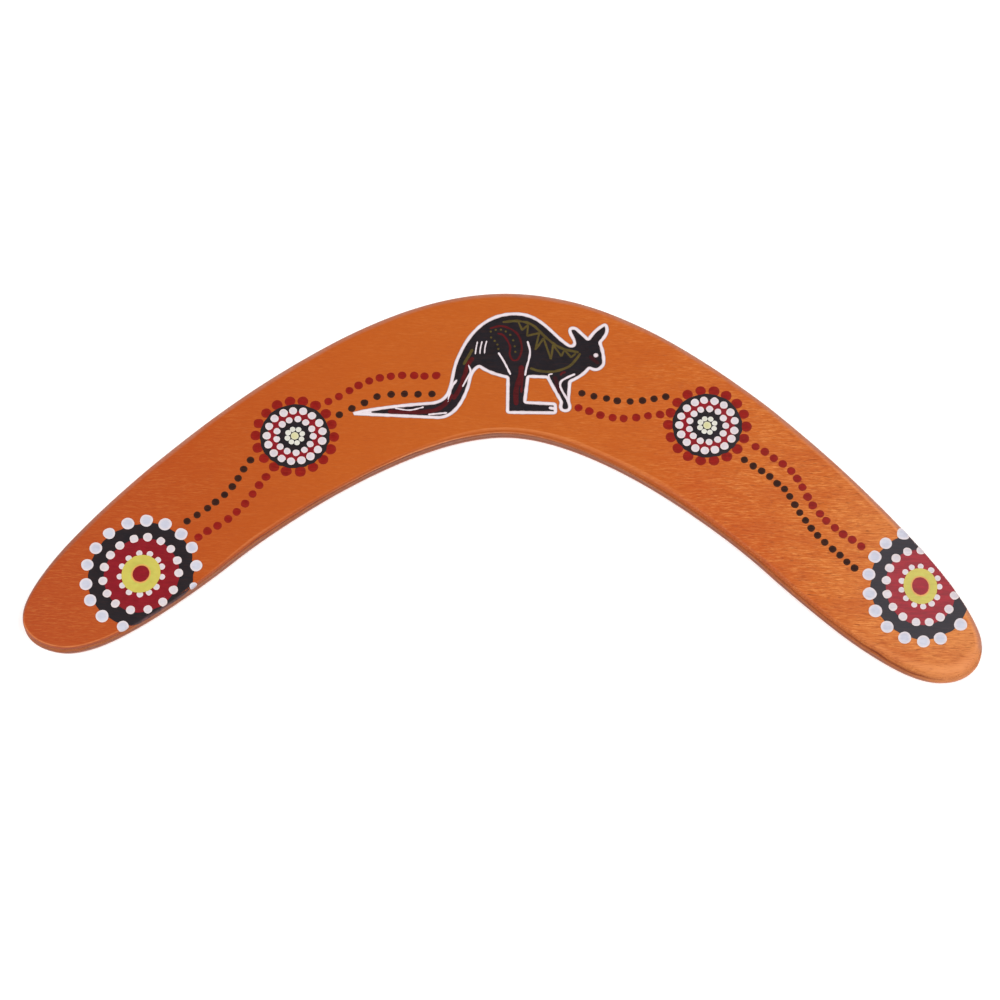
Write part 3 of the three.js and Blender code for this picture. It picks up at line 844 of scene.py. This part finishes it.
def build_arm_ornament(name, centre):
    """A black disc with a red band, three rings of dots and a flower."""
    oval = {"centre": centre, "stretch": 0, "lean": 0}
    # Each ring's radius, its dots' radius and bearings, and its coat
    rings = (
        ("border_dots", 13.4, 1.86, even(18, 1), 0, TRAIL_RED, "dark_red_paint"),
        ("outer_dots", 9.6, 1.42, even(17, 12), 3, WARM_WHITE, "white_paint"),
        ("inner_dots", 6.3, 1.2, even(13), 3, WARM_WHITE, "white_paint"),
    )
    for part, radius, dot, bearings, level, material, slot in rings:
        places = [oval_point(oval, radius, bearing) for bearing in bearings]
        piece = Piece()
        add_dots(piece, places, dot, level, len(name) * 5 + len(part))
        piece.make(f"{name}_{part}_paint", material, f"{name}_{part}")
    ground = Piece()
    add_oval(ground, oval, 12.0, 1, 31, uneven=0.012)
    ground.make(f"{name}_ground_paint", BLACK, f"{name}_ground")
    band = Piece()
    circle = [oval_point(oval, 7.85, bearing) for bearing in even(90)]
    add_stroke(band, circle, 3.1, level_lift(2), closed=True, wobble=0.02)
    band.make(f"{name}_red_band_paint", RED, f"{name}_red_band")
    petals = Piece()
    places = [oval_point(oval, 2.6, bearing) for bearing in even(8, 20)]
    add_dots(petals, places, 0.97, 2, 41, jitter=0.1)
    petals.make(f"{name}_flower_paint", CREAM, f"{name}_flower")
    eye = Piece()
    add_dots(eye, [np.array(centre)], 1.45, 3, 43, jitter=0)
    eye.make(f"{name}_flower_eye_paint", PALE_YELLOW)


def build_trail(name, count, path):
    """A red or black line of dots, spaced evenly along a smooth path."""
    along = even_path(spline(path), 0.2)
    places = along[np.linspace(0, len(along) - 1, count).round().astype(int)]
    red = name.endswith("red")
    piece = Piece()
    add_dots(piece, places, 1.46 if red else 1.31, 0, len(name) + count, jitter=0.25)
    material, slot = (TRAIL_RED, "dark_red_paint") if red else (TRAIL_BLACK, "black_paint")
    piece.make(f"{name}_trail_paint", material, f"{name}_trail")


# The kangaroo: its outline as curves, each starting where the one before ends

KANGAROO_START = (-54, 20.4)
KANGAROO = (
    ((-46, 23), (-34, 24.6), (-26.5, 25.4)),
    ((-18.5, 27), (-21.6, 36), (-18.2, 44)),
    ((-14.2, 55.4), (-7.2, 60.9), (1.7, 60.8)),
    ((10.4, 60.6), (14, 52.7), (20.2, 48.9)),
    ((23, 48.8), (21.2, 52.2)),
    ((18.4, 56.8), (22.2, 55.8)),
    ((26.6, 51.6),),
    ((29, 56), (32.4, 57.8)),
    ((34.4, 55), (30.6, 50.8)),
    ((32.4, 46), (32.2, 42.4)),
    ((30.2, 38.8), (27.2, 41)),
    ((25.4, 37.8), (20.6, 35.4)),
    ((20.3, 27.8),),
    ((21.9, 24.2), (19.4, 24.1)),
    ((16.9, 24.1), (18, 27.3)),
    ((12.8, 36.8),),
    ((6, 36.8),),
    ((5.2, 26.8),),
    ((15.8, 26.6),),
    ((16, 23.2),),
    ((-0.6, 22.8),),
    ((-0.9, 36.2),),
    ((-8, 37.6), (-11, 40.2)),
    ((-14, 38.6), (-14.4, 33)),
    ((-17.4, 20.6), (-24.2, 20)),
    ((-40, 20.2), (-54, 20.4)),
)

# The kangaroo's inner strokes: points on each one's way, and its width
WHITE_STROKES = (
    (((-12, 49.6), (-12.4, 47), (-12.6, 44.6)), 0.5),
    (((-10.4, 49.8), (-10.9, 47), (-11, 44.8)), 0.5),
    (((-8.8, 50), (-9.3, 47.4), (-9.4, 45)), 0.5),
    (((-4.6, 45.6), (-2.4, 42), (0, 37.2)), 0.75),
    (((5.4, 50.4), (6.4, 46.6), (6.1, 43.2), (5.4, 40), (5, 37)), 0.75),
    (((22.4, 38.3), (19.6, 36.8), (17.7, 35.4), (17.3, 33.6), (18.2, 31.4), (19.6, 29), (20.2, 27.4)), 0.85),
    (((14.6, 38.1), (13.2, 37.4), (14.4, 34.4), (16.6, 29)), 0.6),
    (((-15, 40.6), (-14, 38), (-15.4, 34.6), (-16.6, 32)), 0.7),
    (((-18.6, 34.6), (-20.4, 31.4), (-21.4, 26)), 0.9),
    (((-39.6, 23), (-34.6, 22.4), (-29.6, 23.8)), 0.6),
    (((-28, 21), (-21.4, 21.9)), 0.7),
    (((-53.2, 20.6), (-50.5, 20.9), (-47.6, 21.2)), 1.3),
    (((13.6, 25.1), (15.8, 24.8)), 1.2),
)
OLIVE_STROKES = (
    (((-3.6, 57.4), (2, 58), (7, 56.6), (12, 51.8), (17, 48.2), (23.4, 46.6)), 1.0),
    (((6.6, 40), (10, 39), (15, 39), (20, 41), (22.6, 44), (24, 46.4)), 1.0),
    (((-13.6, 46.6), (-15, 43.6), (-16.6, 40.4)), 1.1),
)
OLIVE_ZIGZAG = (
    (2, 57.6), (3.4, 54.6), (5.4, 56.6), (5.2, 52.4), (9.4, 53.6), (8.2, 47), (11, 51.6),
    (13.8, 43.6), (14.4, 49.2), (17.4, 45), (18.4, 47.4), (20.8, 44.6), (22.4, 46.2),
)
MAROON_STROKES = (
    (((-8, 54.8), (-3.4, 55.8), (1.6, 53.2), (3.5, 48), (2.6, 43.6), (0.6, 42.8), (-0.6, 45), (-0.7, 48.4),
      (-3, 52.2), (-5.2, 53)), 0.8),
    (((-13.2, 43.4), (-15, 40.6), (-16, 36.4), (-17.4, 31.6), (-19.6, 27)), 1.6),
    (((3.7, 41), (3.3, 36.5), (2.1, 31.5), (2.3, 25.6)), 1.9),
    (((4.2, 38.6), (4, 34), (3.9, 30.4)), 0.9),
    (((17.2, 37.6), (18, 38.6), (19.2, 38.9)), 0.9),
    (((-42, 21.6), (-32, 21.8), (-26, 22.6), (-22.5, 25), (-19.8, 29)), 1.7),
)
DIM_STROKES = (
    (((15.1, 37.2), (15.9, 35.4), (16.5, 33), (17.2, 30.6)), 1.5),
    (((27.2, 45.5), (28.4, 44.2), (29.8, 43.1), (30.5, 42.4)), 1.4),
)
OLIVE_DOTS = (
    (-7.6, 53.6), (-5.8, 54.3), (-4, 54.4), (-2.2, 53.8), (-0.6, 52.4), (0.5, 50.4), (1.1, 48.2), (1.3, 46),
    (-7.4, 51.2), (-6, 50), (-5, 48.5), (-4.6, 46.9),
)
EYE = (29.4, 45.7)


def kangaroo_outline():
    """The kangaroo's outline, anticlockwise."""
    last = KANGAROO_START
    parts = []
    for segment in KANGAROO:
        parts.append(bend((last, *segment), 12))
        last = segment[-1]
    return np.vstack(parts)[::-1]


def soften(points):
    """Rounds the corners of a closed line."""
    weights = {-2: 1, -1: 2, 0: 3, 1: 2, 2: 1}
    return sum(weight * np.roll(points, shift, axis=0) for shift, weight in weights.items()) / 9


def build_kangaroo():
    """A flat black body, its white outline, and the strokes and dots painted on it."""
    outline = soften(even_path(kangaroo_outline(), 0.35, closed=True))
    body = Piece()
    add_slab(body, outline, level_lift(0))
    body.make("kangaroo_body_paint", BLACK, "kangaroo_body")
    edge = Piece()
    add_stroke(edge, outline, 1.26, level_lift(1), closed=True, wobble=0.07, seed=5)
    edge.make("kangaroo_outline_paint", LINE_WHITE, "kangaroo_outline")
    groups = (
        ("dim", DIM_STROKES, DIM_MAROON, "dark_red_paint"),
        ("olive", OLIVE_STROKES, OLIVE, "yellow_paint"),
        ("maroon", MAROON_STROKES, MAROON, "dark_red_paint"),
        ("white", WHITE_STROKES, LINE_WHITE, "white_paint"),
    )
    for name, strokes, material, slot in groups:
        piece = Piece()
        for seed, (path, width) in enumerate(strokes):
            add_stroke(piece, spline(path), width, level_lift(1) - 0.01, wobble=0.12, seed=seed + 50)
        if name == "olive":
            add_stroke(piece, OLIVE_ZIGZAG, 0.8, level_lift(1), wobble=0.12, seed=9)
            add_dots(piece, [np.array(dot) for dot in OLIVE_DOTS], 0.43, 2, 17, jitter=0.1)
        if name == "white":
            add_dots(piece, [np.array(EYE)], 0.9, 2, 19, jitter=0)
        piece.make(f"kangaroo_{name}_strokes", material)


# The studio


def build_floor():
    """A plain white floor, a hair under the board."""
    material, tree, shader = new_material("studio_floor")
    place = add(tree, "ShaderNodeTexCoord").outputs["Object"]
    cloud = add(tree, "ShaderNodeTexNoise", {"Vector": place, "Scale": 3.0}).outputs["Fac"]
    colour = mix(tree, cloud, (0.94, 0.94, 0.94, 1), (0.96, 0.96, 0.96, 1))
    tree.links.new(colour, shader.inputs["Base Color"])
    shader.inputs["Emission Color"].default_value = (1, 1, 1, 1)
    shader.inputs["Emission Strength"].default_value = 0.25
    shader.inputs["Roughness"].default_value = 0.9
    shader.inputs["Specular IOR Level"].default_value = 0.0
    mesh = bpy.data.meshes.new("floor")
    far = 4
    under = -0.0004
    corners = [(-far, -far, under), (far, -far, under), (far, far, under), (-far, far, under)]
    mesh.from_pydata(corners, [], [(0, 1, 2, 3)])
    mesh.materials.append(material)
    floor = bpy.data.objects.new("floor", mesh)
    bpy.context.collection.objects.link(floor)


def add_light(name, place, size, power, colour=(1, 1, 1)):
    """An area light that points at the board's middle."""
    lamp = bpy.data.lights.new(name, "AREA")
    lamp.shape = "RECTANGLE"
    lamp.size, lamp.size_y = size
    lamp.energy = power
    lamp.color = colour
    holder = bpy.data.objects.new(name, lamp)
    holder.location = place
    holder.rotation_euler = (-Vector(place)).to_track_quat("-Z", "Y").to_euler()
    bpy.context.collection.objects.link(holder)


def build_light():
    """A pale room, two large soft lamps and a small one whose sheen shows the grain on the right arm."""
    world = bpy.data.worlds.new("studio")
    world.use_nodes = True
    background = world.node_tree.nodes["Background"]
    background.inputs["Color"].default_value = (1, 1, 1, 1)
    background.inputs["Strength"].default_value = 0.28
    bpy.context.scene.world = world
    add_light("key", (-0.95, -0.4, 1.35), (1.2, 1.2), 18)
    add_light("fill", (0.95, -0.45, 1.3), (1.2, 1.2), 14)
    add_light("sheen", (0.62, 0.46, 1.15), (0.5, 0.5), 5, (1, 0.96, 0.9))
    bpy.context.scene.view_settings.view_transform = "Standard"


def build_camera():
    """Nearly overhead, tipped back 23 degrees and turned 2, as in the photograph. Lengths are in metres."""
    tilt = math.radians(23)
    turn = 0.036
    distance = 1.2
    view_width = 0.344116
    target = Vector((-0.0021, -0.0076, 0))
    back = Vector((math.sin(turn) * math.sin(tilt), -math.cos(turn) * math.sin(tilt), math.cos(tilt)))
    lens = bpy.data.cameras.new("camera")
    lens.sensor_width = 36
    lens.lens = lens.sensor_width * distance / view_width
    camera = bpy.data.objects.new("camera", lens)
    camera.location = target + back * distance
    camera.rotation_euler = back.to_track_quat("Z", "Y").to_euler()
    bpy.context.collection.objects.link(camera)
    bpy.context.scene.camera = camera


build_board()
for name, oval in TIP_ORNAMENTS.items():
    build_tip_ornament(name, oval)
for name, centre in ARM_CENTRES.items():
    build_arm_ornament(name, centre)
for name, (count, path) in TRAILS.items():
    build_trail(name, count, path)
build_kangaroo()
build_floor()
build_light()
build_camera()
